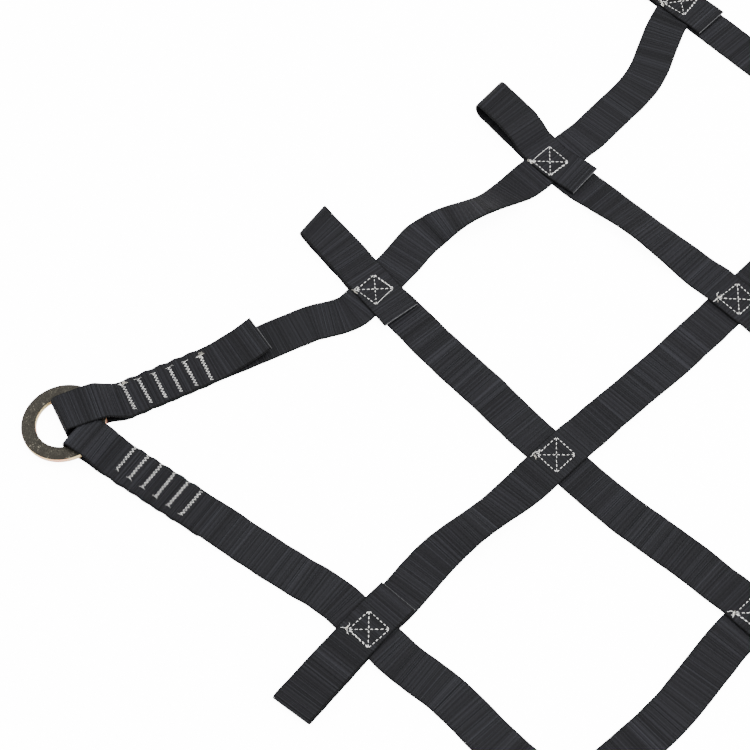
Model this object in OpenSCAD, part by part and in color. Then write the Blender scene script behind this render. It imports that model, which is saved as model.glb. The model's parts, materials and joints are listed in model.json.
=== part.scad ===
// Cargo climbing net. Straps of flat webbing cross in squares and are sewn together at every crossing.
// The four edge straps run on past the corner squares and end, two by two, in sewn eyes round a flat
// steel ring. Every inner strap goes under the edge strap, folds back over it as a loop and is sewn
// down through all three layers. The net lies slack on a flat surface. The origin is at its middle, on
// that surface, with X along its length and +Z up.

/* [Net] */
// Number of squares along the length, odd, so that the net folds in half through a row of squares
cells_x = 7; // [5:2:9]
// Number of squares across the width
cells_y = 4; // [4:1:6]
// Spacing of the straps, centre to centre
pitch = 228; // [190:1:290]

/* [Webbing] */
// Width of the webbing
web_w = 38; // [30:1:46]
// Thickness of the webbing
web_t = 2; // [1.5:0.1:2.5]
// Colour of the webbing
web_colour = "#2b2c2f"; // ["#2b2c2f":Black, "#3f4a2e":Olive, "#1f3352":Navy]

/* [Corner rings] */
// Inner diameter of a ring
ring_id = 50; // [46:1:60]
// Width of a ring's flat face
ring_band = 13; // [10:0.5:14]
// Thickness of a ring
ring_t = 5; // [4:0.5:6]
// Tilt of a ring that lies on the folded webbing
ring_tilt = 6; // [3:0.5:9]
// Distance from the net's corner to the ring's centre, along the length
ring_out_x = 94.5; // [85:0.5:120]
// Distance from the net's corner to the ring's centre, across the width
ring_out_y = 60.5; // [55:0.5:80]

/* [Sewn eyes] */
// From the ring's centre to the inside of the short edge's eye
short_eye_in = -3; // [-4:0.5:-2.5]
// From the ring's centre to the inside of the long edge's eye
long_eye_in = 13.5; // [13.5:0.5:14.5]
// How far the short edge's eye sits towards the outside of the ring
short_eye_aside = 4.5; // [3.5:0.5:5]
// Width of the gathered webbing inside the ring, short edge
short_eye_w = 36; // [30:0.5:36]
// Width of the gathered webbing inside the ring, long edge
long_eye_w = 36; // [30:0.5:36]
// From the ring's centre to the first bar tack
tack_first = 63; // [62:0.5:70]
// Spacing of the bar tacks
tack_pitch = 14.5; // [10:0.5:16]
// Number of bar tacks across each eye
tack_count = 6; // [4:1:6]
// Length of a bar tack
tack_len = 28; // [20:1:29]
// Width of a bar tack's zigzag
tack_w = 3; // [2:0.5:4]
// From the ring's centre to the cut end of the short edge's eye
short_tail_end = 195; // [175:1:200]
// From the ring's centre to the cut end of the long edge's eye
long_tail_end = 173; // [165:1:185]
// From the ring's centre to the crease where a corner folds over
crease_at = 222; // [220:1:235]

/* [End loops] */
// From the middle of the edge strap to the end of a loop
loop_reach = 96; // [80:1:110]
// From the middle of the edge strap to the cut end on top
loop_tail = 38; // [32:1:42]

/* [Box stitching] */
// Side of the stitched square
box_side = 24; // [18:0.5:28]
// Thickness of the thread
thread = 0.8; // [0.4:0.1:1]

/* [Hidden] */
lay_gap = 0.1;      // between layers of webbing that are sewn together
cut_gap = 0.3;      // between the two sides of a crease
thread_h = 0.6;     // how far the thread stands on the webbing
bight_steps = 6;    // facets round a folded end
loop_open = 2;      // inside height of a flat loop
bight_depth = 3;    // how far the webbing bows out where it turns up through a ring
eye_fall = 20;      // length over which an eye's layers come together
max_turn = 15;      // straps cross at the edge of the net up to this far from square
half_x = cells_x * pitch / 2;
half_y = cells_y * pitch / 2;
box_flat = web_w / 2 + 1;                  // half of the flat length at a square crossing
edge_flat = web_w / 2 * (1 / cos(max_turn) + tan(max_turn)) + 1;    // and at the edge of the net
ramp = 25;                                 // length over which a strap comes down from a crossing
ring_od = ring_id + 2 * ring_band;
ring_mid = cut_gap + ring_od / 2 * sin(ring_tilt) + ring_t / 2 * cos(ring_tilt);
ring_top = 2 * ring_mid - cut_gap;
z_floor = web_t / 2;                       // middle of a strap that lies on the surface
z_low = thread_h + web_t / 2;              // middle of the lowest layer at a crossing
z_mid = z_low + web_t + lay_gap;           // middle of the second layer at a crossing
z_tail = z_mid + web_t + lay_gap;          // middle of the folded-back end
z_seam = z_floor + web_t + lay_gap;        // middle of the upper layer of a sewn eye
z_long_top = ring_top + cut_gap + web_t / 2;
z_short_top = z_long_top + web_t + lay_gap;

// Crossings that have crept off the regular squares, as [column, row, along x, along y]. The far
// half of the net has the same ones, turned half round.
CREEP = [[0, 1, -5, 6], [0, 2, 11, -2], [0, 3, -32, 3], [1, 0, 2, -6], [1, 1, 3, -3], [1, 2, 6, 4],
         [2, 0, -4, 0], [2, 1, -8, 6], [2, 2, -8, 0], [2, 3, -4, 0]];
// How far the short edge straps are turned at a crossing, as [column, row, degrees]
TURN = [[0, 1, 6.5], [0, 2, -3], [0, 3, 15]];
// How far an end loop and its cut end are turned, as [column, row, degrees, degrees]
LOOP_TURN = [[0, 1, -6.4, -6.4], [0, 2, -5.8, 6], [0, 3, 0, 2], [1, 0, 5.3, 3], [3, 0, -3, 0], [5, 0, 2, 0]];
// How slack stretches lie, as [column, row, bulge, s-bend, roll, roll s-bend], for the stretch that
// starts at that crossing. First the straps along x, then those along y.
SLACK_X = [[0, 1, -1, -1.5, 5, 0], [0, 2, 0, 0.5, -16, 0], [1, 0, 3, 2.5, 0, 0], [1, 1, -1.3, -0.8, 4, 0],
           [1, 2, 3, 0, -6, 0]];
SLACK_Y = [[0, 1, 3.5, 6, -20, 18], [0, 2, -7, 4, 0, 0], [1, 0, 4.5, 3, -15, 11],
           [1, 1, -1.5, 0, -4, -4], [1, 2, -4, 3, 5, 0], [2, 0, -6, 0, 0, 0]];

// ---- vectors ----
function unit(v) = v / norm(v);
function mix(a, b, t) = a + (b - a) * t;
function smooth(t) = let (s = min(max(t, 0), 1)) s * s * (3 - 2 * s);
function hump(t) = (1 - cos(360 * t)) / 2;
function swing(t) = sin(360 * t) * sin(180 * t);
function flip(list) = [for (k = [len(list) - 1 : -1 : 0]) list[k]];
// Stations in the other order and seen from the other end, so that the webbing doesn't twist
function turned(st) = [for (s = flip(st)) [s[0], -s[1], s[2]]];
function turn90(v) = [-v.y, v.x];
function turn(v, a) = v * cos(a) + turn90(v) * sin(a);

// ---- the lattice ----
function far(i, j) = [cells_x - i, cells_y - j];
function listed(list, i, j, size) =
    let (hit = [for (e = list) if (e[0] == i && e[1] == j) e])
    len(hit) > 0 ? [for (k = [2 : size + 1]) hit[0][k]] : [for (k = [1 : size]) 0];
function crossing(i, j) =
    let (f = far(i, j))
    [i * pitch - half_x, j * pitch - half_y] + listed(CREEP, i, j, 2) - listed(CREEP, f.x, f.y, 2);
function on_edge(i, j) = i == 0 || j == 0 || i == cells_x || j == cells_y;
function y_strap_on_top(i, j) = (i + j) % 2 == 0;
// The slack of the stretch that starts at (i, j), and of its twin on the far half, turned round
function slack_x(i, j) =
    let (f = far(i + 1, j), a = listed(SLACK_X, i, j, 4), b = listed(SLACK_X, f.x, f.y, 4))
    [a[0] - b[0], a[1] - b[1], a[2] - b[2], a[3] - b[3]];
function slack_y(i, j) =
    let (f = far(i, j + 1), a = listed(SLACK_Y, i, j, 4), b = listed(SLACK_Y, f.x, f.y, 4))
    [a[0] - b[0], a[1] - b[1], a[2] - b[2], a[3] - b[3]];

// A strap keeps its turn when the net is turned half round
function turn_at(i, j) =
    let (f = far(i, j)) listed(TURN, i, j, 1)[0] + listed(TURN, f.x, f.y, 1)[0];
function loop_turn(i, j) =
    let (f = far(i, j)) listed(LOOP_TURN, i, j, 2) + listed(LOOP_TURN, f.x, f.y, 2);

// ---- strap stations: each is [middle point, direction across the webbing, width] ----
function station(xy, z, across, w = web_w) = [[xy.x, xy.y, z], [across.x, across.y, 0], w];
// A stretch between two crossings, where the strap is held flat and turned
function stretch(a, b, za, zb, way, slack, ds, flat = box_flat, turn_a = 0, turn_b = 0) =
    let (side = turn90(way), p = a + turn(way, turn_a) * flat, q = b - turn(way, turn_b) * flat,
         free = (q - p) * way)
    [for (d = ds(free))
        let (place = function (s) p + way * s * free
                 + side * (((q - p) * side) * smooth(s) + slack[0] * hump(s) + slack[1] * swing(s)
                     + free * (tan(turn_a) * s * pow(1 - s, 2) - tan(turn_b) * s * s * (1 - s))),
             t = d / free,
             xy = place(t),
             across = turn90(unit(place(t + 0.01) - place(t - 0.01))),
             roll = slack[2] * hump(t) + slack[3] * swing(t),
             z = z_floor + (za - z_floor) * (1 - smooth(d / ramp)) + (zb - z_floor) * (1 - smooth((free - d) / ramp))
                 + web_w / 2 * abs(sin(roll)) - web_t / 2 * (1 - cos(roll)))
        [[xy.x, xy.y, z], [across.x * cos(roll), across.y * cos(roll), sin(roll)], web_w]];
whole = function (l) [ramp / 2, ramp, for (k = [1 : 4]) mix(ramp, l - ramp, k / 5), l - ramp, l - ramp / 2];
to_middle = function (l) [ramp / 2, ramp, l / 4 + 10, l / 2 - cut_gap / 2];
from_middle = function (l) [for (d = flip(to_middle(l))) l - d];
function flat_at(c, z, way, flat = box_flat) = [for (s = [-1, 1]) station(c + s * flat * way, z, turn90(way))];

// An end loop from its cut end on top, out round its fold and back in underneath
function end_loop(c, way, turns) =
    let (r = (loop_open + web_t) / 2, tip = loop_reach - web_t / 2 - r,
         out = turn(way, turns[0]), tail = turn(way, turns[1]), top = unit(out + tail), low = unit(out + way),
         on = function (direction, s, z) station(c + direction * s, z, turn90(direction)))
    concat(
        [on(tail, loop_tail, z_tail - 0.6), on(tail, edge_flat, z_tail), on(top, 0, z_tail),
         on(out, -edge_flat, z_tail), on(out, -edge_flat - ramp, z_floor + 2 * r)],
        [for (k = [0 : bight_steps])
            let (a = 90 - 180 * k / bight_steps)
            on(out, -tip - r * cos(a), z_floor + r + r * sin(a))],
        [on(out, -edge_flat - ramp, z_floor), on(out, -edge_flat, z_low), on(low, 0, z_low),
         on(way, box_flat, z_low)]);

// ---- corners, worked out at the corner at -x, -y and mirrored to the others ----
ring_at = [-half_x - ring_out_x, -half_y - ring_out_y];
short_leg = unit([-half_x, pitch - half_y] - ring_at);
long_leg = unit([pitch - half_x, -half_y] - ring_at);
corner_in = unit(short_leg + long_leg);
function leg_side(leg) = turn90(leg);
// The oblique end that a leg has at the crease, on the ring's side (-1) or the net's side (1)
function crease_end(leg, side) =
    let (along = turn90(corner_in), slant = abs(along * leg_side(leg)))
    station(ring_at + leg * (crease_at + side * cut_gap / 2 / (corner_in * leg)), z_floor,
        along * sign(along * leg_side(leg)), web_w / slant);
function eye_point(leg, s, z, w = web_w, aside = 0) =
    station(ring_at + leg * s + leg_side(leg) * aside, z, leg_side(leg), w);
function eye_bight(leg, inside, z_bottom, z_top, w, aside) =
    let (r = (z_top - z_bottom) / 2, mid = inside + web_t / 2 + bight_depth)
    [for (k = [0 : bight_steps])
        let (a = -90 + 180 * k / bight_steps)
        eye_point(leg, mid - bight_depth * cos(a), z_bottom + r + r * sin(a), w, aside)];
eye_flat = ring_od / 2 + 1;                    // the layers stay apart to here, round the ring
eye_shut = eye_flat + eye_fall;                // and lie together from here
tack_last = tack_first + (tack_count - 1) * tack_pitch;
short_eye_path = concat(
    [crease_end(short_leg, -1), eye_point(short_leg, eye_shut, z_floor),
     eye_point(short_leg, eye_flat, z_floor, short_eye_w, short_eye_aside)],
    eye_bight(short_leg, short_eye_in, z_floor, z_short_top, short_eye_w, short_eye_aside),
    [eye_point(short_leg, eye_flat, z_short_top, short_eye_w, short_eye_aside),
     eye_point(short_leg, eye_flat + eye_fall / 2, (z_short_top + z_seam) / 2, web_w, short_eye_aside / 2),
     eye_point(short_leg, eye_shut, z_seam),
     eye_point(short_leg, tack_last + tack_pitch / 2, z_seam),
     eye_point(short_leg, short_tail_end, z_seam + web_t)]);
long_eye_path = concat(
    [crease_end(long_leg, -1), eye_point(long_leg, long_tail_end + ramp, z_floor),
     eye_point(long_leg, long_tail_end, z_seam), eye_point(long_leg, eye_shut, z_seam),
     eye_point(long_leg, eye_flat + eye_fall / 2, (z_long_top + z_seam) / 2),
     eye_point(long_leg, eye_flat, z_long_top, long_eye_w)],
    flip(eye_bight(long_leg, long_eye_in, z_seam, z_long_top, long_eye_w, 0)),
    [eye_point(long_leg, eye_flat, z_seam, long_eye_w), eye_point(long_leg, eye_shut, z_floor),
     eye_point(long_leg, long_tail_end - ramp / 2, z_floor)]);
// A leg from the crease to the first crossing of an edge strap, as seen at the corner at -x, -y
function leg_curve(leg, c, out) =
    let (p0 = ring_at + leg * (crease_at + web_w / 2 * tan(acos(corner_in * leg)) + 2), p3 = c + out * edge_flat,
         reach = norm(p3 - p0) / 3, p1 = p0 + leg * reach, p2 = p3 + out * reach,
         turn_from = leg_side(leg), turn_to = turn90(-out))
    concat([crease_end(leg, 1), station(p0, z_floor, leg_side(leg))],
        [for (t = [0.25, 0.5, 0.75])
            station(pow(1 - t, 3) * p0 + 3 * pow(1 - t, 2) * t * p1 + 3 * (1 - t) * t * t * p2
                + t * t * t * p3, mix(z_floor, z_mid, smooth(t * 1.2 - 0.2)),
                unit(mix(turn_from, turn_to, t)))]);
// The same leg at any corner, with sx and sy as its signs, running away from the ring
function mirrored(st, sx, sy) =
    [for (s = st) [[-sx * s[0].x, -sy * s[0].y, s[0].z], [-sx * s[1].x, -sy * s[1].y, s[1].z] * (sx * sy), s[2]]];
function short_leg_at(sx, sy, c, turns) =
    mirrored(leg_curve(short_leg, [-sx * c.x, -sy * c.y], turn([0, -1], sx * sy * turns)), sx, sy);
function long_leg_at(sx, sy, c) = mirrored(leg_curve(long_leg, [-sx * c.x, -sy * c.y], [-1, 0]), sx, sy);

// ---- one closed solid of webbing along a row of stations ----
module webbing(st) {
    n = len(st);
    points = [for (k = [0 : n - 1])
        let (p = st[k][0], s = st[k][1], w = st[k][2],
             t = unit(st[min(k + 1, n - 1)][0] - st[max(k - 1, 0)][0]), up = unit(cross(t, s)))
        each [p + s * w / 2 + up * web_t / 2, p - s * w / 2 + up * web_t / 2,
              p - s * w / 2 - up * web_t / 2, p + s * w / 2 - up * web_t / 2]];
    faces = concat([[0, 1, 2], [0, 2, 3]],
        [for (k = [0 : n - 2], e = [0 : 3])
            let (a = 4 * k + e, b = 4 * k + (e + 1) % 4)
            each [[a, a + 4, b + 4], [a, b + 4, b]]],
        [[4 * n - 4, 4 * n - 2, 4 * n - 3], [4 * n - 4, 4 * n - 1, 4 * n - 2]]);
    polyhedron(points, faces, convexity = 8);
}

// ---- straps ----
WAY_X = [1, 0];
WAY_Y = [0, 1];
mid_col = (cells_x - 1) / 2;
function level_x(i, j) = on_edge(i, j) ? (j == 0 || j == cells_y ? z_mid : z_low)
    : y_strap_on_top(i, j) ? z_low : z_mid;
function level_y(i, j) = on_edge(i, j) ? (i == 0 || i == cells_x ? z_mid : z_low)
    : y_strap_on_top(i, j) ? z_mid : z_low;
function span_x(i, j, ds) =
    stretch(crossing(i, j), crossing(i + 1, j), level_x(i, j), level_x(i + 1, j), WAY_X, slack_x(i, j), ds,
        j == 0 || j == cells_y ? edge_flat : box_flat);
function span_y(i, j) =
    stretch(crossing(i, j), crossing(i, j + 1), level_y(i, j), level_y(i, j + 1), WAY_Y, slack_y(i, j), whole,
        i == 0 || i == cells_x ? edge_flat : box_flat, turn_at(i, j), turn_at(i, j + 1));
// The stretches and crossings of a strap along x, on one half of the net
function left_half(j) = concat(
    [for (i = [1 : mid_col]) each concat(i == 1 ? [] : span_x(i - 1, j, whole),
        flat_at(crossing(i, j), level_x(i, j), WAY_X, j == 0 || j == cells_y ? edge_flat : box_flat))],
    span_x(mid_col, j, to_middle));
function right_half(j) = concat(span_x(mid_col, j, from_middle),
    [for (i = [mid_col + 1 : cells_x - 1]) each concat(
        flat_at(crossing(i, j), level_x(i, j), WAY_X, j == 0 || j == cells_y ? edge_flat : box_flat),
        i == cells_x - 1 ? [] : span_x(i, j, whole))]);

module long_strap(j, half) {
    loop = half == "left" ? end_loop(crossing(0, j), WAY_X, loop_turn(0, j))
        : turned(end_loop(crossing(cells_x, j), -WAY_X, loop_turn(cells_x, j)));
    color(web_colour)
        webbing(half == "left" ? concat(loop, span_x(0, j, whole), left_half(j))
            : concat(right_half(j), span_x(cells_x - 1, j, whole), loop));
}

module cross_strap(i) {
    color(web_colour)
        webbing(concat(end_loop(crossing(i, 0), WAY_Y, loop_turn(i, 0)), span_y(i, 0),
            [for (j = [1 : cells_y - 1]) each concat(flat_at(crossing(i, j), level_y(i, j), WAY_Y), span_y(i, j))],
            turned(end_loop(crossing(i, cells_y), -WAY_Y, loop_turn(i, cells_y)))));
}

module long_edge_strap(edge, half) {
    j = edge == "front" ? 0 : cells_y;
    sy = edge == "front" ? -1 : 1;
    color(web_colour)
        webbing(half == "left" ? concat(long_leg_at(-1, sy, crossing(1, j)), left_half(j))
            : concat(right_half(j), turned(long_leg_at(1, sy, crossing(cells_x - 1, j)))));
}

module short_edge_strap(side) {
    i = side == "left" ? 0 : cells_x;
    sx = side == "left" ? -1 : 1;
    color(web_colour)
        webbing(concat(short_leg_at(sx, -1, crossing(i, 1), turn_at(i, 1)),
            [for (j = [1 : cells_y - 1]) each concat(
                flat_at(crossing(i, j), z_mid, turn(WAY_Y, turn_at(i, j)), edge_flat),
                j == cells_y - 1 ? [] : span_y(i, j))],
            turned(short_leg_at(sx, 1, crossing(i, cells_y - 1), turn_at(i, cells_y - 1)))));
}

// ---- corner pieces, made at -x, -y: corner 1 there, 2 at +x -y, 3 at +x +y, 4 at -x +y ----
module at_corner(c) {
    mirror([c == 2 || c == 3 ? 1 : 0, 0, 0]) mirror([0, c > 2 ? 1 : 0, 0]) children();
}

module ring(c) {
    ease = 0.5;
    r0 = ring_id / 2;
    r1 = ring_od / 2;
    h = ring_t / 2;
    color("#8a8577")
        at_corner(c)
            translate([ring_at.x, ring_at.y, ring_mid])
                rotate(a = -ring_tilt, v = [-corner_in.y, corner_in.x, 0])
                    rotate_extrude($fn = 96)
                        polygon([[r0 + ease, -h], [r1 - ease, -h], [r1, ease - h], [r1, h - ease],
                                 [r1 - ease, h], [r0 + ease, h], [r0, h - ease], [r0, ease - h]]);
}

module short_eye(c) {
    color(web_colour) at_corner(c) webbing(short_eye_path);
}

module long_eye(c) {
    color(web_colour) at_corner(c) webbing(long_eye_path);
}

module tack_row(leg) {
    turn = atan2(leg.y, leg.x);
    for (k = [0 : tack_count - 1])
        translate(concat(ring_at + leg * (tack_first + k * tack_pitch), [z_seam + web_t / 2 + lay_gap]))
            rotate([0, 0, turn])
                translate([-tack_w / 2, -tack_len / 2, 0])
                    cube([tack_w, tack_len, thread_h]);
}

module bar_tacks(c) {
    color("white")
        at_corner(c) {
            tack_row(short_leg);
            tack_row(long_leg);
        }
}

// ---- box stitching: a square with both diagonals, on top of each crossing ----
module box_stitch(c, z) {
    translate([c.x, c.y, z + web_t / 2 + lay_gap])
        linear_extrude(thread_h) {
            difference() {
                square(box_side + thread, center = true);
                square(box_side - thread, center = true);
            }
            for (a = [45, -45])
                rotate(a) square([box_side * sqrt(2) - thread, thread], center = true);
        }
}

module short_edge_stitching(side) {
    i = side == "left" ? 0 : cells_x;
    color("white")
        for (j = [1 : cells_y - 1])
            box_stitch(crossing(i, j), z_tail);
}

module cross_stitching(i) {
    color("white")
        for (j = [0 : cells_y])
            box_stitch(crossing(i, j), on_edge(i, j) ? z_tail : z_mid);
}

for (c = [1 : 4]) {
    ring(c);
    short_eye(c);
    long_eye(c);
    bar_tacks(c);
}
for (edge = ["front", "back"], half = ["left", "right"])
    long_edge_strap(edge, half);
for (side = ["left", "right"]) {
    short_edge_strap(side);
    short_edge_stitching(side);
}
for (j = [1 : cells_y - 1], half = ["left", "right"])
    long_strap(j, half);
for (i = [1 : cells_x - 1]) {
    cross_strap(i);
    cross_stitching(i);
}
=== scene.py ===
import json
import math
import random
import bpy
import numpy as np
from mathutils import Matrix, Vector


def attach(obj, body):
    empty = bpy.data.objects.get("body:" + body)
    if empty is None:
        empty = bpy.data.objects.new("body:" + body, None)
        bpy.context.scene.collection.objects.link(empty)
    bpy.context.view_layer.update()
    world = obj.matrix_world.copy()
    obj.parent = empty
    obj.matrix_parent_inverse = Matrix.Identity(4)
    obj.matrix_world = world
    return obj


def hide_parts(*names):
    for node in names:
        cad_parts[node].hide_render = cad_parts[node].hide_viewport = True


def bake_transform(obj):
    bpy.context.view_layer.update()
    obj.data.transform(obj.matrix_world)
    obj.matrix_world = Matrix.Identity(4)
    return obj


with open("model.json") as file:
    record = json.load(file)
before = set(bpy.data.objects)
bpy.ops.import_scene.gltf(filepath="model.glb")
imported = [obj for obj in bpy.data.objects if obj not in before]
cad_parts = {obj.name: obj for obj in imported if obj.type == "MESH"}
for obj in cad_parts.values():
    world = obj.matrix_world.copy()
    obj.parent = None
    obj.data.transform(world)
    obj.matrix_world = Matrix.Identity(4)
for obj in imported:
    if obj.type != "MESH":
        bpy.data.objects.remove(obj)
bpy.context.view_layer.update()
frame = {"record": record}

# ---------------------------------------------------------------------------------------------
# The room: a long lens high over one corner of the net, a pale floor and soft overhead light.
# ---------------------------------------------------------------------------------------------
looks_at = Vector((-0.7389, -0.2851, 0.0))
azimuth, elevation, roll = math.radians(45.9), math.radians(59.5), math.radians(-0.4)
distance = 1.846

away = Vector((math.sin(azimuth) * math.cos(elevation), -math.cos(azimuth) * math.cos(elevation),
               math.sin(elevation)))
level = Vector((math.cos(azimuth), math.sin(azimuth), 0.0))
steep = away.cross(level)
right = level * math.cos(roll) + steep * math.sin(roll)
up = away.cross(right)
lens = bpy.data.cameras.new("camera")
lens.lens, lens.sensor_width = 99.3, 36.0
lens.clip_start, lens.clip_end = 0.05, 50.0
camera = bpy.data.objects.new("camera", lens)
camera.matrix_world = Matrix((
    (right.x, up.x, away.x, looks_at.x + away.x * distance),
    (right.y, up.y, away.y, looks_at.y + away.y * distance),
    (right.z, up.z, away.z, looks_at.z + away.z * distance),
    (0, 0, 0, 1)))
bpy.context.collection.objects.link(camera)
bpy.context.scene.camera = camera


def softbox(name, at, aim, size, watts, colour=(1, 1, 1)):
    light = bpy.data.lights.new(name, "AREA")
    light.shape, light.size, light.energy, light.color = "DISK", size, watts, colour
    lamp = bpy.data.objects.new(name, light)
    lamp.location = at
    lamp.rotation_euler = (Vector(at) - Vector(aim)).to_track_quat("Z", "Y").to_euler()
    bpy.context.collection.objects.link(lamp)


softbox("overhead", (0.0, 0.4, 3.0), (0, 0, 0), 3.2, 210)
softbox("side_fill", (-2.6, -0.6, 1.5), (-0.6, -0.2, 0), 1.2, 26)
softbox("far_fill", (1.2, 2.8, 1.6), (0, 0, 0), 1.6, 30)
sky = bpy.data.worlds.new("pale_room")
sky.use_nodes = True
sky.node_tree.nodes["Background"].inputs["Color"].default_value = (1, 1, 1, 1)
sky.node_tree.nodes["Background"].inputs["Strength"].default_value = 1.7
bpy.context.scene.world = sky

floor_size = 60.0
floor_mesh = bpy.data.meshes.new("floor")
floor_below = -0.0004      # so that the underside of the webbing never shares its plane
floor_mesh.from_pydata([(x * floor_size, y * floor_size, floor_below)
                        for x, y in ((-1, -1), (1, -1), (1, 1), (-1, 1))], [], [(0, 1, 2, 3)])
floor = bpy.data.objects.new("floor", floor_mesh)
bpy.context.collection.objects.link(floor)
paint = bpy.data.materials.new("floor_paint")
paint.use_nodes = True
floor_coat = paint.node_tree.nodes["Principled BSDF"].inputs
floor_coat["Base Color"].default_value = (0.93, 0.93, 0.93, 1)
floor_coat["Roughness"].default_value = 0.9
floor_coat["Specular IOR Level"].default_value = 0.1
floor_coat["Emission Strength"].default_value = 12.0
seen = paint.node_tree.nodes.new("ShaderNodeLightPath")   # the floor glows to the eye, and not onto the net
paint.node_tree.links.new(seen.outputs["Is Camera Ray"], floor_coat["Emission Color"])
floor_mesh.materials.append(paint)


# ---------------------------------------------------------------------------------------------
# The four corner rings: stamped flat steel rings, zinc plated and yellow passivated. The mottled
# flat faces are painted dark as shade, and the sawn and bored walls are painted bright as a highlight.
# ---------------------------------------------------------------------------------------------
class Wire:
    """A value on its way through a finish's nodes; arithmetic on it adds Math nodes."""

    def __init__(self, finish, socket):
        self.finish, self.socket = finish, socket

    def out(self, output):
        return Wire(self.finish, self.socket.node.outputs[output])

    def maths(self, operation, *others):
        return self.finish.add("ShaderNodeMath", {"operation": operation}, self, *others)

    def __add__(self, other):
        return self.maths("ADD", other)

    def __mul__(self, other):
        return self.maths("MULTIPLY", other)

    def __sub__(self, other):
        return self.maths("SUBTRACT", other)

    def __rsub__(self, other):
        return (self * -1) + other

    def __gt__(self, other):
        return self.maths("GREATER_THAN", other)

    __radd__, __rmul__ = __add__, __mul__


class Finish:
    """A material and its nodes. add() takes a node's type, its settings and its inputs."""

    def __init__(self, name, **shader):
        self.material = bpy.data.materials.new(name)
        self.material.use_nodes = True
        self.tree = self.material.node_tree
        self.shader = self.tree.nodes["Principled BSDF"]
        for socket, value in shader.items():
            self.feed(self.shader.inputs[socket.replace("_", " ")], value)

    def feed(self, socket, value):
        if isinstance(value, Wire):
            self.tree.links.new(value.socket, socket)
        else:
            socket.default_value = value

    def add(self, kind, settings, *values, output=0, **named):
        node = self.tree.nodes.new(kind)
        for key, value in settings.items():
            if key == "stops":
                ramp = node.color_ramp
                while len(ramp.elements) < len(value):
                    ramp.elements.new(1.0)
                for stop, (place, colour) in zip(ramp.elements, value):
                    stop.position, stop.color = place, (*colour, 1)
            else:
                setattr(node, key, value)
        for socket, value in zip(node.inputs, values):
            self.feed(socket, value)
        for name, value in named.items():
            self.feed(node.inputs[name.replace("_", " ")], value)
        return Wire(self, node.outputs[output])


def new_piece(name, mesh, *finishes):
    for finish in finishes:
        mesh.materials.append(finish.material)
    piece = bpy.data.objects.new(name, mesh)
    bpy.context.collection.objects.link(piece)
    return piece


def painted_shade_face():
    f = Finish("ring_face_with_painted_shade", Metallic=0.85)
    place = f.add("ShaderNodeTexCoord", {}, output=3)
    clouds = f.add("ShaderNodeTexNoise", {}, Vector=place, Scale=150.0, Detail=6.0, Roughness=0.65)
    specks = f.add("ShaderNodeTexNoise", {}, Vector=place, Scale=900.0, Detail=2.0)
    marks = f.add("ShaderNodeTexVoronoi", {}, Vector=place, Scale=260.0)
    tone = clouds * 0.45 + specks * 0.65 - 0.05
    # painted shade: the flat faces' colour is kept near black, far darker than the walls of the same plating;
    # the mottling is the plating's own
    f.feed(f.shader.inputs["Base Color"], f.add("ShaderNodeValToRGB", {"stops": [
        (0.30, (0.010, 0.009, 0.007)), (0.52, (0.020, 0.018, 0.014)), (0.62, (0.036, 0.033, 0.026)),
        (0.72, (0.22, 0.20, 0.15))]}, tone))
    f.feed(f.shader.inputs["Roughness"], 0.42 + clouds * 0.25)
    f.feed(f.shader.inputs["Normal"], f.add("ShaderNodeBump", {}, Strength=0.35, Distance=0.0002,
                                           Height=specks + (marks > 0.35) * 0.3))
    return f


def painted_highlight_wall():
    f = Finish("ring_wall_with_painted_highlight", Metallic=1.0)
    place = f.add("ShaderNodeTexCoord", {}, output=3)
    clouds = f.add("ShaderNodeTexNoise", {}, Vector=place, Scale=70.0, Detail=3.0)
    # painted highlight: the walls' colour is bright, far lighter than the faces of the same plating
    f.feed(f.shader.inputs["Base Color"], f.add("ShaderNodeValToRGB", {"stops": [
        (0.36, (0.80, 0.34, 0.24)), (0.5, (0.82, 0.48, 0.26)), (0.64, (0.74, 0.60, 0.32))]}, clouds))
    f.feed(f.shader.inputs["Roughness"], 0.28 + clouds * 0.2)
    return f


painted_shade_finish, painted_highlight_finish = painted_shade_face(), painted_highlight_wall()
corners = [(-1, -1), (1, -1), (1, 1), (-1, 1)]     # signs of x and y at corners 1 to 4


def joint_named(name):
    return next(j for j in frame["record"]["behaviour"]["joints"] if j["name"] == name)


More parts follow.
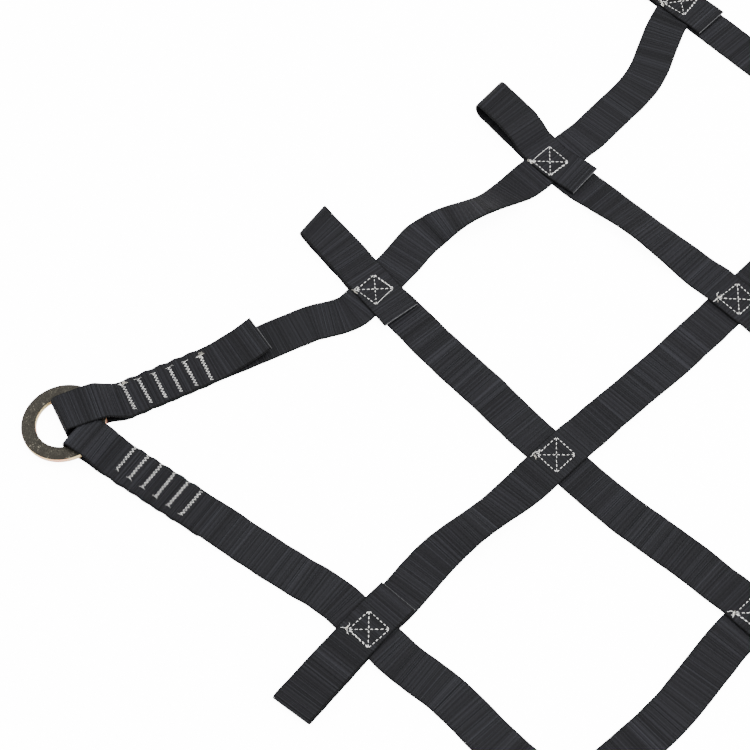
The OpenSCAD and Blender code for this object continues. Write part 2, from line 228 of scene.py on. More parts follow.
ring_outer, ring_inner, ring_thick, edge_round = 0.038, 0.025, 0.005, 0.0006
round_steps, ring_steps = 4, 160
ring_joints = {c: joint_named(f"ring_{c}_spin") for c in range(1, 5)}
for c, joint in ring_joints.items():
    outline = []
    for radius, side, first in ((ring_outer, 1, 1), (ring_outer, 1, -1),
                                (ring_inner, -1, -1), (ring_inner, -1, 1)):
        for k in range(round_steps + 1):
            turn = math.pi / 2 * k / round_steps
            swing = (math.sin(turn), math.cos(turn)) if first * side > 0 else (math.cos(turn), math.sin(turn))
            outline.append((radius - side * edge_round * (1 - swing[0]),
                            first * (ring_thick / 2 - edge_round * (1 - swing[1]))))
    count = len(outline)
    axis = Vector(joint["axis"])
    turn_up = Vector((0, 0, 1)).rotation_difference(axis).to_matrix()
    verts = [Vector(joint["pos_m"]) + turn_up @ Vector((r * math.cos(a), r * math.sin(a), z))
             for a in (2 * math.pi * k / ring_steps for k in range(ring_steps)) for r, z in outline]
    faces = [(k * count + e, (k + 1) % ring_steps * count + e,
              (k + 1) % ring_steps * count + (e + 1) % count, k * count + (e + 1) % count)
             for k in range(ring_steps) for e in range(count)]
    mesh = bpy.data.meshes.new(f"steel_ring_{c}")
    mesh.from_pydata([tuple(v) for v in verts], [], faces)
    mesh.validate()
    for polygon in mesh.polygons:
        polygon.use_smooth = True
        # split by which way each face points: painted shade on the flat faces, painted highlight on the walls
        polygon.material_index = 0 if abs(polygon.normal.dot(axis)) > 0.8 else 1
    steel_ring = new_piece(f"steel_ring_{c}", mesh, painted_shade_finish, painted_highlight_finish)
    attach(steel_ring, f"ring_{c}")
    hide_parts(f"ring_{c}")


# ---------------------------------------------------------------------------------------------
# The webbing: ribbed black polyester, 38 mm wide, cut hot so that its ends are melted shut. One
# length is swept along each strap's route, and it dips, turns and narrows as the route says.
# ---------------------------------------------------------------------------------------------
mm = 0.001
web_width, web_thick, layer = 38 * mm, 1.96 * mm, 2.1 * mm
rib_pitch, pick_pitch, yarn_pitch = 3.7 * mm, 1.85 * mm, 1.3 * mm
edge_shadow_from = 17.9 * mm      # where the painted shadow along each edge starts, from the middle of the webbing


def woven():
    f = Finish("black_webbing", Specular_IOR_Level=0.06)
    along = f.add("ShaderNodeSeparateXYZ", {}, f.add("ShaderNodeUVMap", {"uv_map": "weave"}))
    across, place = along.out(1), f.add("ShaderNodeTexCoord", {}, output=3)
    drift = f.add("ShaderNodeTexNoise", {"noise_dimensions": "1D"}, W=along * 55, Detail=1.0)
    ribs = (along * (2 * math.pi / rib_pitch) + drift * 9).maths("SINE")
    picks = (along * (2 * math.pi / pick_pitch)).maths("SINE")
    yarns = (across * (2 * math.pi / yarn_pitch)).maths("SINE") * picks
    bands = f.add("ShaderNodeTexNoise", {"noise_dimensions": "1D"}, W=along * 150, Detail=3.0, Roughness=0.7)
    broad = f.add("ShaderNodeTexNoise", {"noise_dimensions": "1D"}, W=along * 18 + 7, Detail=1.0)
    fuzz = f.add("ShaderNodeTexNoise", {}, Vector=place, Scale=700.0, Detail=3.0)
    # broad patches lightened at random: partly wear on the webbing, partly a painted sheen
    wear_and_painted_sheen = f.add("ShaderNodeTexNoise", {}, Vector=place, Scale=6.0, Detail=2.0)
    # painted shadow: a dark band about 1 mm wide along both edges of the webbing
    painted_edge_shadow = (across - web_width / 2).maths("ABSOLUTE") > edge_shadow_from
    tone = (bands * 0.55 + broad * 0.3 + wear_and_painted_sheen * 0.2 + ribs * 0.09 * (broad + 0.4) + picks * 0.03
            + fuzz * 0.12 - painted_edge_shadow * 0.3 - 0.06)
    f.feed(f.shader.inputs["Base Color"], f.add("ShaderNodeValToRGB", {"stops": [
        (0.2, (0.0022, 0.0022, 0.0025)), (0.46, (0.0054, 0.0054, 0.0062)), (0.62, (0.0094, 0.0095, 0.0112)),
        (0.9, (0.0190, 0.0194, 0.0232))]}, tone))
    f.feed(f.shader.inputs["Roughness"], 0.75 - bands * 0.2)
    weave = ribs * 0.55 + picks * 0.2 + yarns * 0.12 + bands * 0.8 + fuzz * 0.2
    f.feed(f.shader.inputs["Normal"],
           f.add("ShaderNodeBump", {}, Strength=0.8, Distance=0.0004, Height=weave))
    return f


def melted():
    f = Finish("melted_end", Roughness=0.4)
    lumps = f.add("ShaderNodeTexNoise", {}, Vector=f.add("ShaderNodeTexCoord", {}, output=3), Scale=900.0)
    f.feed(f.shader.inputs["Base Color"], f.add("ShaderNodeValToRGB", {"stops": [
        (0.35, (0.010, 0.010, 0.011)), (0.65, (0.042, 0.042, 0.045))]}, lumps))
    f.feed(f.shader.inputs["Normal"],
           f.add("ShaderNodeBump", {}, Strength=0.5, Distance=0.0003, Height=lumps))
    return f


web_finish, end_finish = woven(), melted()


def station(place, height, across, width=web_width):
    """One row of a route: the middle of the webbing, the direction across it and its width."""
    across = (*across, 0.0) if len(across) == 2 else across
    return [*place, height, *across, width]


def glide(at, knots, values):
    """Values along a route between its knots, with no bend overshooting."""
    gap = np.diff(knots)[:, None]
    rise = np.diff(values, axis=0) / gap
    slope = np.vstack([rise[:1], np.zeros_like(rise[1:]), rise[-1:]])
    near, far = 2 * gap[1:] + gap[:-1], gap[1:] + 2 * gap[:-1]
    level = rise[:-1] * rise[1:] <= 1e-15
    first, second = np.where(level, 1, rise[:-1]), np.where(level, 1, rise[1:])
    slope[1:-1] = np.where(level, 0, (near + far) / (near / first + far / second))
    k = np.clip(np.searchsorted(knots, at, "right") - 1, 0, len(knots) - 2)
    h, t = gap[k], ((at - knots[k]) / gap[k, 0])[:, None]
    return (values[k] * (1 + 2 * t) * (1 - t) ** 2 + values[k + 1] * t * t * (3 - 2 * t)
            + slope[k] * h * t * (1 - t) ** 2 - slope[k + 1] * h * t * t * (1 - t))


def unit_rows(rows_of):
    return rows_of / np.linalg.norm(rows_of, axis=1)[:, None]


def ripple(distance, wavelength, seed):
    phases = random.Random(seed)
    return sum(np.sin(distance * 2 * math.pi / (wavelength * phases.uniform(0.6, 1.6))
                      + phases.uniform(0, 6.3)) for _ in range(4)) / 4


fine_step, row_step, row_turn = 0.4 * mm, 4 * mm, math.radians(8)    # a row every 4 mm or 8 degrees
skew_dies = 60 * mm


def webbing(name, route, seed, bow=None, skews=()):
    """A closed length of webbing along a route of stations, its melted ends a little thicker."""
    route = np.array(route, float)
    knots = np.r_[0, np.cumsum(np.linalg.norm(np.diff(route[:, :3], axis=0), axis=1))]
    fine = np.linspace(0, knots[-1], int(knots[-1] / fine_step))
    run = glide(fine, knots, route)
    heading = unit_rows(np.gradient(run[:, :3], axis=0))
    turning = np.arccos(np.clip(np.sum(heading[1:] * heading[:-1], axis=1), -1, 1))
    effort = np.r_[0, np.cumsum(fine_step / row_step + turning / row_turn)]
    at_rows = np.searchsorted(effort, np.linspace(0, effort[-1], int(effort[-1]) + 2))
    at_rows = np.unique(at_rows.clip(0, len(fine) - 1))
    run, heading, distance = run[at_rows], heading[at_rows], fine[at_rows]
    side = unit_rows(run[:, 3:6] - heading * np.sum(run[:, 3:6] * heading, axis=1)[:, None])
    face = np.cross(heading, side)
    width = run[:, 6] + 0.35 * mm * ripple(distance, 26 * mm, seed)
    shove = 0.25 * mm * ripple(distance, 40 * mm, seed + 1)
    order = [0, 0, *range(len(run)), -1, -1]       # two more rows at each end for the melted edge
    run, heading, side, face, width, shove, distance = (
        a[order] for a in (run, heading, side, face, width, shove, distance))
    reach, thick = np.zeros(len(run)), np.full(len(run), web_thick)
    reach[[0, 1, -2, -1]] = np.array([-0.5, -0.2, 0.2, 0.5]) * mm
    thick[[0, 1, -2, -1]] = np.array([0.5, 1.04, 1.04, 0.5]) * web_thick
    flat = np.linspace(1, -1, 11)
    ys = np.r_[flat, -1, -1, -1, -flat, 1, 1, 1]
    zs = np.r_[[1.0] * 11, 0.62, 0, -0.62, [-1.0] * 11, -0.62, 0, 0.62]
    zs[[0, 10, 14, 24]] = 0.9, 0.9, -0.9, -0.9
    inset = np.r_[[0.5] * 11, 0.16, 0, 0.16, [0.5] * 11, 0.16, 0, 0.16] * mm
    half = width[:, None] / 2 - inset[None]
    y = ys[None] * half + shove[:, None]
    z = zs[None] * thick[:, None] / 2
    centre = run[:, :3] + heading * reach[:, None]
    verts = centre[:, None] + side[:, None] * y[..., None] + face[:, None] * z[..., None]
    if bow is not None:
        verts[..., 2] += bow(run)[:, None] * (1 - (ys[None] * half / half.max()) ** 2)
    for tip, out, slant in skews:
        near = ease(1 - np.linalg.norm(run[:, :2] - tip, axis=1) / skew_dies)
        verts[..., :2] -= (near[:, None] * y * slant)[..., None] * out
    count, rings = len(ys), len(run)
    start = np.arange(rings - 1)[:, None] * count
    e = np.arange(count)[None]
    quads = np.stack([start + e, start + (e + 1) % count,
                      start + (e + 1) % count + count, start + e + count], -1)
    faces = quads.reshape(-1, 4).tolist()
    faces += [list(range(count))[::-1], [(rings - 1) * count + k for k in range(count)]]
    mesh = bpy.data.meshes.new(name)
    mesh.from_pydata(verts.reshape(-1, 3).tolist(), [], faces)
    offset = random.Random(seed).uniform(0, 5)
    uv = np.stack([np.broadcast_to((distance + reach + offset)[:, None], y.shape),
                   (ys[None] * half / width[:, None] + 0.5) * web_width], -1).reshape(-1, 2)
    corner_of = np.zeros(len(mesh.loops), int)
    mesh.loops.foreach_get("vertex_index", corner_of)
    mesh.uv_layers.new(name="weave").data.foreach_set("uv", uv[corner_of].ravel())
    melted_part = np.repeat(np.isin(np.arange(rings - 1), (0, 1, rings - 3, rings - 2)), count)
    mesh.polygons.foreach_set("material_index", np.r_[melted_part, True, True].astype(np.int32))
    mesh.polygons.foreach_set("use_smooth", np.r_[np.ones(len(melted_part), bool), False, False])
    return new_piece(name, mesh, web_finish, end_finish), knots[-1]


# ---------------------------------------------------------------------------------------------
# The lattice: where the straps cross, how far each crossing has crept off its square, and how the
# slack stretches between them lie. The far half of the net has the same, turned half round.
# ---------------------------------------------------------------------------------------------
columns, rows, pitch = 7, 4, 228 * mm
creep = {(0, 1): (-5, 6), (0, 2): (11, -2), (0, 3): (-32, 3), (1, 0): (2, -6), (1, 1): (3, -3),
         (1, 2): (6, 4), (2, 0): (-4, 0), (2, 1): (-8, 6), (2, 2): (-8, 0), (2, 3): (-4, 0)}      # in mm
# how far a strap along y is turned at a crossing, in degrees
turn_y = {(0, 1): 6.5, (0, 2): -3, (0, 3): 15}
# bulge in mm, s-bend in mm, roll in degrees, roll s-bend in degrees
slack_x = {(0, 1): (-1, -1.5, 5, 0), (0, 2): (0, 0.5, -16, 0), (1, 0): (3, 2.5, 0, 0),
           (1, 1): (-1.3, -0.8, 4, 0), (1, 2): (3, 0, -6, 0)}
slack_y = {(0, 1): (3.5, 6, -20, 18), (0, 2): (-7, 4, 0, 0), (1, 0): (4.5, 3, -15, 11),
           (1, 1): (-1.5, 0, -4, -4), (1, 2): (-4, 3, 5, 0), (2, 0): (-6, 0, 0, 0)}
on_floor, lowest = 1.0 * mm, 1.6 * mm
second, third, seam = lowest + layer, lowest + 2 * layer, on_floor + layer
held, ramp = web_width / 2 + 1 * mm, 25 * mm
askew = math.radians(15)
edge_held = web_width / 2 * (1 / math.cos(askew) + math.tan(askew)) + 1 * mm
way_x, way_y = np.array([1.0, 0.0]), np.array([0.0, 1.0])


def twin(i, j):
    return columns - i, rows - j


def crossing(i, j):
    own, other = creep.get((i, j), (0, 0)), creep.get(twin(i, j), (0, 0))
    return np.array([i - columns / 2, j - rows / 2]) * pitch + (np.array(own) - np.array(other)) * mm


def turn_at(i, j):
    return math.radians(turn_y.get((i, j), 0) + turn_y.get(twin(i, j), 0))


def slack_of(table, i, j, other):
    return np.array(table.get((i, j), (0, 0, 0, 0)), float) - np.array(table.get(other, (0, 0, 0, 0)), float)


def left_of(way):
    return np.array([-way[1], way[0]])


def unit(v):
    return v / np.linalg.norm(v)


def reversed_route(route):
    """The same route from its other end, its sides swapped so that the webbing doesn't twist."""
    return [[*s[:3], -s[3], -s[4], -s[5], s[6]] for s in route[::-1]]


def turned(way, angle):
    return way * math.cos(angle) + left_of(way) * math.sin(angle)


def ease(t):
    t = np.clip(t, 0, 1)
    return t * t * (3 - 2 * t)


def stretch(a, b, za, zb, way, slack, flat, turn_a=0.0, turn_b=0.0):
    """The stations of a slack stretch between two crossings, where the strap is held flat."""
    side = left_of(way)
    p, q = a + turned(way, turn_a) * flat, b - turned(way, turn_b) * flat
    free = (q - p) @ way
    bulge, bend = slack[0] * mm, slack[1] * mm

    def place(t):
        swing = math.sin(2 * math.pi * t) * math.sin(math.pi * t)
        aside = ((q - p) @ side * ease(t) + bulge * (1 - math.cos(2 * math.pi * t)) / 2 + bend * swing
                 + free * (math.tan(turn_a) * t * (1 - t) ** 2 - math.tan(turn_b) * t * t * (1 - t)))
        return p + way * t * free + side * aside

    stations = []
    for t in np.linspace(0, 1, 44)[1:-1]:
        ahead = place(t + 0.01) - place(t - 0.01)
        across = left_of(ahead / np.linalg.norm(ahead))
        roll = math.radians(slack[2] * (1 - math.cos(2 * math.pi * t)) / 2
                            + slack[3] * math.sin(2 * math.pi * t) * math.sin(math.pi * t))
        height = (on_floor + (za - on_floor) * (1 - ease(t * free / ramp))
                  + (zb - on_floor) * (1 - ease((1 - t) * free / ramp))
                  + web_width / 2 * abs(math.sin(roll)) - web_thick / 2 * (1 - math.cos(roll)))
        stations.append(station(place(t), height,
                                (across[0] * math.cos(roll), across[1] * math.cos(roll), math.sin(roll))))
    return stations


def held_flat(c, height, way, flat):
    return [station(c + s * flat * way, height, left_of(way)) for s in (-1, -0.35, 0.35, 1)]


def along_x(j, first, last):
    """A strap's route along x, from one crossing to another, on its own layer at each."""
    def height(i):
        if j in (0, rows) or i in (0, columns):
            return second if j in (0, rows) else lowest
        return lowest if (i + j) % 2 == 0 else second
    flat, route = edge_held if j in (0, rows) else held, []
    for i in range(first, last):
        slack = slack_of(slack_x, i, j, (columns - i - 1, rows - j))
        route += stretch(crossing(i, j), crossing(i + 1, j), height(i), height(i + 1), way_x, slack, flat)
        if i + 1 < last:
            route += held_flat(crossing(i + 1, j), height(i + 1), way_x, flat)
    return route


def along_y(i, first, last):
    def height(j):
        if i in (0, columns) or j in (0, rows):
            return second if i in (0, columns) else lowest
        return second if (i + j) % 2 == 0 else lowest
    flat, route = edge_held if i in (0, columns) else held, []
    for j in range(first, last):
        slack = slack_of(slack_y, i, j, (columns - i, rows - j - 1))
        route += stretch(crossing(i, j), crossing(i, j + 1), height(j), height(j + 1), way_y, slack,
                         flat, turn_at(i, j), turn_at(i, j + 1))
        if j + 1 < last:
            route += held_flat(crossing(i, j + 1), height(j + 1), turned(way_y, turn_at(i, j + 1)), flat)
    return route


# ---------------------------------------------------------------------------------------------
# The inner straps: three along the net and six across it. Each goes under the edge strap, out to
# an open loop and back on top of the edge strap, where its cut end shows.
# ---------------------------------------------------------------------------------------------
loop_reach, loop_tail = 96 * mm, 38 * mm
opened = {(0, 2): 13, (0, 1): 4, (0, 3): 3, (1, 0): 4, (2, 0): 3, (3, 0): 5, (4, 0): 3}      # mm inside
loop_turn = {(0, 1): -6.4, (0, 2): -5.8, (1, 0): 5.3, (3, 0): -3, (5, 0): 2}                 # degrees
tail_turn = {(0, 1): -6.4, (0, 2): 6, (1, 0): 3, (0, 3): 2}
tip_slant = {(0, 1): 0.30, (0, 2): 0.20, (1, 0): 0.05, (0, 3): 0.08, (4, 0): -0.06, (5, 0): 0.07}


def askew_tips(*ends):
    """Where the loops at the ends of a strap are folded askew, one edge further out than the other."""
    return [(crossing(i, j) - way * loop_reach, way, tip_slant.get((i, j), tip_slant.get(twin(i, j), 0)))
            for i, j, way in ends]


def end_loop(i, j, way):
    """From the cut end on top, back over the edge strap, round the loop and in underneath."""
    def mine(table, default):
        return table.get((i, j), table.get(twin(i, j), default))
    c = crossing(i, j)
    out, tail = turned(way, math.radians(mine(loop_turn, 0))), turned(way, math.radians(mine(tail_turn, 0)))
    r = (mine(opened, 3) * mm + web_thick) / 2
    tip = loop_reach - web_thick / 2 - r

    def on(direction, s, height):
        return station(c + direction * s, height, left_of(direction))
    route = [on(tail, loop_tail, third - 0.6 * mm), on(tail, edge_held, third),
             on(unit(out + tail), 0, third), on(out, -edge_held, third),
             on(out, -edge_held - ramp / 2, (third + on_floor + 2 * r) / 2 + 0.2 * r),
             on(out, -edge_held - ramp, on_floor + 2 * r)]
    for k in range(13):
        a = math.pi / 2 - math.pi * k / 12
        route.append(on(out, -tip - r * math.cos(a), on_floor + r + r * math.sin(a)))
    return route + [on(out, -edge_held - ramp, on_floor), on(out, -edge_held, lowest),
                    on(unit(out + way), 0, lowest), on(way, held, lowest)]


for j in range(1, rows):
    route = end_loop(0, j, way_x) + along_x(j, 0, columns) + reversed_route(end_loop(columns, j, -way_x))
    strap, length = webbing(f"strap_along_{j}", route, 100 + j,
                            skews=askew_tips((0, j, way_x), (columns, j, -way_x)))
    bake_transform(strap)
    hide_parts(f"long_strap_{j}_left", f"long_strap_{j}_right")

for i in range(1, columns):
    route = end_loop(i, 0, way_y) + along_y(i, 0, rows) + reversed_route(end_loop(i, rows, -way_y))
    strap, length = webbing(f"strap_across_{i}", route, 200 + i,
                            skews=askew_tips((i, 0, way_y), (i, rows, -way_y)))
    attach(strap, "net_left" if i <= columns // 2 else "net_right")
    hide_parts(f"cross_strap_{i}")


# ---------------------------------------------------------------------------------------------
# The edge straps: two long and two short ones, the same webbing, each held between the layers of
# every strap that it meets. These are their lengths between the first and the last crossing.
# ---------------------------------------------------------------------------------------------
for j, edge in ((0, "front"), (rows, "back")):
    a, b = crossing(1, j), crossing(columns - 1, j)
    route = ([station(a + s * edge_held * way_x, second, (0, 1)) for s in (0, 0.5, 1)]
             + along_x(j, 1, columns - 1)
             + [station(b - s * edge_held * way_x, second, (0, 1)) for s in (1, 0.5, 0)])
    strap, length = webbing(f"{edge}_edge", route, 300 + j)
    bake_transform(strap)
    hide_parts(f"{edge}_edge_strap_left", f"{edge}_edge_strap_right")
for i, edge in ((0, "left"), (columns, "right")):
    a, b = crossing(i, 1), crossing(i, rows - 1)
    from_a, to_b = turned(way_y, turn_at(i, 1)), turned(way_y, turn_at(i, rows - 1))
    route = ([station(a + s * edge_held * from_a, second, left_of(from_a)) for s in (0, 0.5, 1)]
             + along_y(i, 1, rows - 1)
             + [station(b - s * edge_held * to_b, second, left_of(to_b)) for s in (1, 0.5, 0)])
    strap, length = webbing(f"{edge}_edge", route, 310 + i)
    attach(strap, f"net_{edge}")
    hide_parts(f"{edge}_edge_strap")


# ---------------------------------------------------------------------------------------------
# The corners: each edge strap runs on from its first crossing, through the ring and back on
# itself, and the doubled webbing is sewn shut as an eye. The short edge's eye lies on top.
# ---------------------------------------------------------------------------------------------
ring_out_x, ring_out_y = 94.5 * mm, 60.5 * mm      # beyond the outermost crossing of the two edges
ring_at = np.array([-columns / 2 * pitch - ring_out_x, -rows / 2 * pitch - ring_out_y])
ring_tilt = math.radians(6)
clear = 0.3 * mm
ring_top = 2 * (clear + ring_outer * math.sin(ring_tilt) + ring_thick / 2 * math.cos(ring_tilt)) - clear
short_leg = unit(np.array([-columns / 2, 1 - rows / 2]) * pitch - ring_at)
long_leg = unit(np.array([1 - columns / 2, -rows / 2]) * pitch - ring_at)
corner_in = unit(short_leg + long_leg)
crease_at, crease_half = 222 * mm, 18 * mm
top_of_long = ring_top + clear + 1 * mm
top_of_short = top_of_long + layer


def leg_station(leg, s, height, width=38, aside=0.0, turn=0.0):
    side = left_of(leg)
    swing = math.radians(turn)
    return station(ring_at + leg * s * mm + side * aside * mm, height,
                   side * math.cos(swing) + leg * math.sin(swing), width * mm)


def bight(leg, inside, low, high, width, aside):
    r, mid = (high - low) / 2, inside + 1 + 3
    return [leg_station(leg, mid - 3 * math.cos(a), low + r + r * math.sin(a), width, aside)
            for a in (math.pi * (k / 14 - 0.5) for k in range(15))]


def leg_run(leg, c, out):
    """From the first crossing to the crease: one easy curve."""
    slack_end = crease_at + web_width / 2 * math.tan(math.acos(corner_in @ leg)) + 2 * mm
    p0, p3 = ring_at + leg * slack_end, c + out * edge_held
    reach = np.linalg.norm(p3 - p0) / 3
    p1, p2 = p0 + leg * reach, p3 + out * reach
    route = [station(p0, on_floor, left_of(leg))]
    for t in np.linspace(0, 1, 16)[1:-1]:
        place = (1 - t) ** 3 * p0 + 3 * (1 - t) ** 2 * t * p1 + 3 * (1 - t) * t * t * p2 + t ** 3 * p3
        going = (1 - t) ** 2 * (p1 - p0) + 2 * (1 - t) * t * (p2 - p1) + t * t * (p3 - p2)
        height = on_floor + (second - on_floor) * ease(t * 1.2 - 0.2)
        route.append(station(place, height, left_of(unit(going))))
    route += [station(p3, second, left_of(-out)), station(c + out * 0.3 * mm, second, left_of(-out))]
    return route[::-1]


tack_first, tack_pitch, tack_count = {"short": 61.8, "long": 65.4}, 14.6, 6


def quilted(kind, leg, height, puff):
    """The layers between the bar tacks, drawn in at each tack and puffed up between them."""
    return [leg_station(leg, tack_first[kind] + k * tack_pitch / 2, height + puff * (k % 2),
                        38.7 - 1.5 * (1 - k % 2)) for k in range(2 * tack_count - 1)]


# from the crease in to the ring, round it and out to the cut end, or the other way for the long edge:
# mm out from the ring's middle, height, width in mm, mm aside and degrees turned
eye_routes = {
    "short": [leg_station(short_leg, 222, on_floor), leg_station(short_leg, 187, on_floor),
              *quilted("short", short_leg, on_floor, 0)[::-1],
              leg_station(short_leg, 58, on_floor), leg_station(short_leg, 38, on_floor, 36, 4),
              *bight(short_leg, -3, on_floor, top_of_short, 36.5, 4.5),
              leg_station(short_leg, 14, top_of_short, 37, 4),
              leg_station(short_leg, 34, top_of_short - 0.4 * mm, 37.6, 2.5),
              leg_station(short_leg, 47, seam + 0.45 * (top_of_short - seam), 38, 1),
              leg_station(short_leg, 58, seam + 0.3 * mm), *quilted("short", short_leg, seam, 0.6 * mm),
              leg_station(short_leg, 143, seam), leg_station(short_leg, 167, seam + 3 * mm, turn=-4, aside=2),
              leg_station(short_leg, 192, seam + 8 * mm, turn=-9, aside=5)],
    "long": [leg_station(long_leg, 222, on_floor), leg_station(long_leg, 198, on_floor),
             leg_station(long_leg, 173, seam), *quilted("long", long_leg, seam, 0.5 * mm)[::-1],
             leg_station(long_leg, 60, seam + 0.2 * mm),
             leg_station(long_leg, 48, seam + 0.45 * (top_of_long - seam), 37.5),
             leg_station(long_leg, 37, top_of_long - 0.4 * mm, 37, -0.5),
             *bight(long_leg, 13.5, seam, top_of_long, 36.5, -0.5)[::-1],
             leg_station(long_leg, 39, seam, 36.5, -0.5), leg_station(long_leg, 58, on_floor),
             *quilted("long", long_leg, on_floor, 0), leg_station(long_leg, 160.5, on_floor)]}


def gathered(run):
    return (web_width - run[:, 6]) * 0.22 * ease((run[:, 2] - seam) / (6 * mm))


for c, (sx, sy) in enumerate(corners, 1):
    for kind, leg, out in (("short", short_leg, -way_y), ("long", long_leg, -way_x)):
        i, j = (0, 1) if kind == "short" else (1, 0)
        flip = np.array([-sx, -sy, 1])
        i, j = i if sx < 0 else columns - i, j if sy < 0 else rows - j
        if kind == "short":
            out = turned(way_y, turn_at(i, j)) * sy * flip[:2]
        route = leg_run(leg, crossing(i, j) * flip[:2], out) + eye_routes[kind]
        route = [[*(np.array(s[:3]) * flip), *(np.array(s[3:6]) * flip * sx * sy), s[6]] for s in route]
        strap, length = webbing(f"{kind}_eye_{c}_webbing", route, 400 + 10 * c + (kind == "long"),
                                bow=gathered)
        u = np.array([*corner_in, 0]) * flip
        crease = np.array([*ring_at, 0]) * flip + u * crease_at * (corner_in @ leg)
        tuple(crease - u * crease_half)
        tuple(crease + u * crease_half)
        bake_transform(strap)
        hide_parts(f"{kind}_eye_{c}")


# ---------------------------------------------------------------------------------------------
# The box stitching: at every crossing a square with both diagonals, lock-stitched in off-white
# thread through all the layers, so it shows above and below. The cut thread ends curl at a corner.
# ---------------------------------------------------------------------------------------------
def sewing_thread(name, light, dark):
    f = Finish(name, Specular_IOR_Level=0.3, Sheen_Weight=0.2)
    place = f.add("ShaderNodeTexCoord", {}, output=3)
    fibres = f.add("ShaderNodeTexNoise", {}, Vector=place, Scale=2600.0, Detail=2.0)
    worn = f.add("ShaderNodeTexNoise", {}, Vector=place, Scale=160.0, Detail=2.0)
    f.feed(f.shader.inputs["Base Color"], f.add("ShaderNodeValToRGB", {"stops": [
        (0.3, dark), (0.55, light)]}, fibres * 0.45 + worn * 0.55))
    f.feed(f.shader.inputs["Roughness"], 0.5 + fibres * 0.3)
    f.feed(f.shader.inputs["Normal"],
           f.add("ShaderNodeBump", {}, Strength=0.6, Distance=0.0001, Height=fibres))
    return f


thread_finish = sewing_thread("off_white_thread", (0.80, 0.79, 0.76), (0.36, 0.36, 0.36))
fused_finish = sewing_thread("fused_thread_ends", (0.42, 0.40, 0.35), (0.16, 0.155, 0.14))
dash_shape = ((0, 0.35, -0.35), (0.12, 0.75, 0.02), (0.35, 1.0, 0.16), (0.65, 1.0, 0.16), (0.88, 0.75, 0.02),
              (1, 0.35, -0.35))      # along the stitch, thickness, height in mm


stitch_length, thread_radius = 4.2 * mm, 0.31 * mm


class Needle:
    """Collects the stitches of one seam as a single mesh."""

    def __init__(self):
        self.verts, self.faces, self.fused = [], [], []

    def tube(self, centres, radii, fused=False, sides=6):
        centres = np.array(centres, float)
        heading = unit_rows(np.gradient(centres, axis=0) + 1e-9)
        aside = unit_rows(np.cross(heading, (0.03, 0.05, 1.0)))
        above = np.cross(aside, heading)
        turns = np.arange(sides) * 2 * math.pi / sides
        radii = np.broadcast_to(radii, len(centres))[:, None, None]
        rings = centres[:, None] + radii * (aside[:, None] * np.cos(turns)[None, :, None]
                                            + above[:, None] * np.sin(turns)[None, :, None])
        base, n = len(self.verts), len(centres)
        self.verts += rings.reshape(-1, 3).tolist()
        faces = [[base + r * sides + k, base + (r + 1) * sides + k, base + (r + 1) * sides + (k + 1) % sides,
                  base + r * sides + (k + 1) % sides] for r in range(n - 1) for k in range(sides)]
        faces += [[base + k for k in range(sides)], [base + (n - 1) * sides + k for k in range(sides)][::-1]]
        self.faces += faces
        self.fused += [int(fused)] * len(faces)

    def dash(self, p, q, height, radius, above=1):
        """One stitch on the surface at that height, its ends pulled down into the webbing."""
        p, q = np.array(p), np.array(q)
        self.tube([[*(p + (q - p) * t), height + above * lift * mm] for t, _, lift in dash_shape],
                  [radius * share for _, share, _ in dash_shape])

    def seam(self, p, q, height, luck, above=1, radius=thread_radius):
        """A row of stitches from p to q."""
        p, q = np.array(p), np.array(q)
        count = max(1, round(np.linalg.norm(q - p) / stitch_length))
        side = left_of(unit(q - p))
        for k in range(count):
            waver = [side * luck.uniform(-0.16, 0.16) * mm for _ in "ab"]
            ends = [p + (q - p) * (k + t + luck.uniform(-0.05, 0.05)) / count for t in (0.18, 0.82)]
            self.dash(ends[0] + waver[0], ends[1] + waver[1], height,
                      radius * luck.uniform(0.82, 1.15), above)

    def ends(self, place, height, luck, reach=2.8 * mm, strands=3, fused=False):
        """Short cut ends of thread, curled on the surface."""
        for _ in range(strands):
            angle, points = luck.uniform(0, 6.28), []
            spot = (np.array([*place, height + 0.4 * mm])
                    + [luck.uniform(-1, 1) * mm, luck.uniform(-1, 1) * mm, 0])
            for _ in range(9):
                points.append(spot.copy())
                angle += luck.uniform(-1.1, 1.1)
                spot = spot + np.array([math.cos(angle), math.sin(angle), 0]) * reach / 4
                spot[2] = height + luck.uniform(0.2, 1.3) * mm
            self.tube(points, luck.uniform(0.17, 0.27) * mm, fused, sides=5)

    def finished(self, name):
        mesh = bpy.data.meshes.new(name)
        mesh.from_pydata(self.verts, [], self.faces)
        mesh.polygons.foreach_set("material_index", self.fused)
        mesh.polygons.foreach_set("use_smooth", [True] * len(self.faces))
        piece = new_piece(name, mesh, thread_finish, fused_finish)
        return piece


box_side = 24 * mm
# mm from the middle of the crossing
sewn_off = {(0, 1): (2.5, -2.5), (0, 2): (-0.4, -3.8), (1, 0): (3, -1), (1, 1): (-1.8, 0.1)}


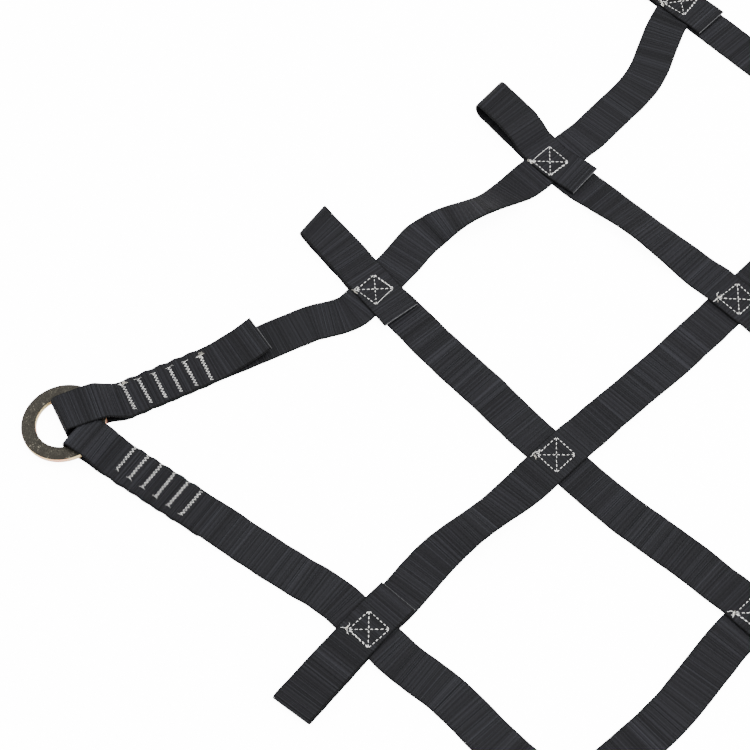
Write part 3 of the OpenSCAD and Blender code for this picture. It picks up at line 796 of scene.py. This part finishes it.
def box_stitch(needle, i, j, luck):
    edge = i in (0, columns) or j in (0, rows)
    top = (third if edge else second) + web_thick / 2
    centre = crossing(i, j) + np.array(sewn_off.get((i, j), (luck.uniform(-1, 1), luck.uniform(-1, 1)))) * mm
    lean = turn_at(i, j) / 2 + math.radians(luck.uniform(-2, 2))
    for height, above in ((top, 1), (lowest - web_thick / 2, -1)):
        marks = [centre + turned(np.array([x, y]) * box_side / 2, lean) + np.array(
            [luck.uniform(-0.8, 0.8), luck.uniform(-0.8, 0.8)]) * mm for x, y in corners]
        sides = [(marks[k], marks[(k + 1) % 4]) for k in range(4)]
        doubled, slack = luck.randrange(6), luck.randrange(7)
        for k, (p, q) in enumerate(sides):
            if k == slack and above > 0:
                bow = left_of(unit(q - p)) * luck.uniform(-0.9, 0.9) * mm
                needle.tube([[*(p + (q - p) * t + bow * math.sin(math.pi * t)),
                              height + (0.26 - 0.5 * (t in (0, 1))) * mm]
                             for t in np.linspace(0, 1, 9)], 0.17 * mm)
                continue
            needle.seam(p, q, height, luck, above)
            if k == doubled:
                off = left_of(unit(q - p)) * 0.55 * mm
                needle.seam(p + off + (q - p) * 0.05, q + off, height, luck, above, 0.30 * mm)
        for p, q in ((marks[0], marks[2]), (marks[1], marks[3])):
            needle.seam(p, q, height, luck, above)
    needle.ends(centre + turned(np.array([-13.5, -12.5]) * mm, lean), top, luck, strands=3)
    needle.ends(centre + turned(np.array([-12.5, -14.0]) * mm, lean), top, luck, 2.2 * mm, 2, fused=True)


for i in range(columns + 1):
    luck, needle = random.Random(500 + i), Needle()
    edge = {0: "left", columns: "right"}.get(i)
    for j in range(1, rows) if edge else range(rows + 1):
        box_stitch(needle, i, j, luck)
    stitching = needle.finished(f"{edge}_edge_box_stitches" if edge else f"box_stitches_{i}")
    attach(stitching, "net_left" if i <= columns // 2 else "net_right")
    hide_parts(f"{edge}_edge_stitching" if edge else f"cross_stitching_{i}")


# ---------------------------------------------------------------------------------------------
# The bar tacks: six dense zigzags across each eye hold its two layers together. The machine ran
# from one to the next without cutting, so a thin thread jumps along the outer side.
# ---------------------------------------------------------------------------------------------
tack_length, tack_width, tooth = 28 * mm, 3.6 * mm, 1.6 * mm
for c, (sx, sy) in enumerate(corners, 1):
    luck, needle = random.Random(600 + c), Needle()
    for kind, leg, outer in (("short", short_leg, 1), ("long", long_leg, -1)):
        side, flip = left_of(leg), np.array([-sx, -sy])
        for height, above in ((seam + web_thick / 2, 1), (on_floor - web_thick / 2 + 0.45 * mm, -1)):
            row_ends = []
            for k in range(tack_count):
                aside = 2.5 - outer * (1.9 + 0.6 * k if kind == "short" else 3 - 0.6 * k)
                middle = (ring_at + leg * (tack_first[kind] + k * tack_pitch + luck.uniform(-0.4, 0.4)) * mm
                          + side * aside * mm)
                along_row, count = turned(side, math.radians(luck.uniform(-2, 2))), round(tack_length / tooth)
                zigzag = [middle + along_row * (t / count - 0.5) * tack_length
                          + leg * ((-1) ** t * tack_width / 2 + luck.uniform(-0.2, 0.2) * mm)
                          for t in range(count + 1)]
                for p, q in zip(zigzag, zigzag[1:]):
                    needle.dash(p * flip, q * flip, height, luck.uniform(0.16, 0.22) * mm, above)
                row_ends.append(middle + side * outer * tack_length / 2)
            if above > 0:
                for p, q in zip(row_ends, row_ends[1:]):
                    bow = luck.uniform(0.2, 1.2) * mm
                    needle.tube([[*((p + (q - p) * t + side * outer * bow * math.sin(math.pi * t)) * flip),
                                  height + luck.uniform(0.0, 0.3) * mm]
                                 for t in np.linspace(0, 1, 9)], 0.1 * mm)
                for k in (0, tack_count - 1) if kind == "short" else ():
                    needle.ends((row_ends[k] + side * outer * 0.8 * mm) * flip, height, luck,
                                2.6 * mm, 4, fused=True)
                    needle.ends(row_ends[k] * flip, height, luck, 2.0 * mm, 2)
    tacks = needle.finished(f"bar_tack_threads_{c}")
    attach(tacks, f"corner_{c}")
    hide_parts(f"bar_tacks_{c}")
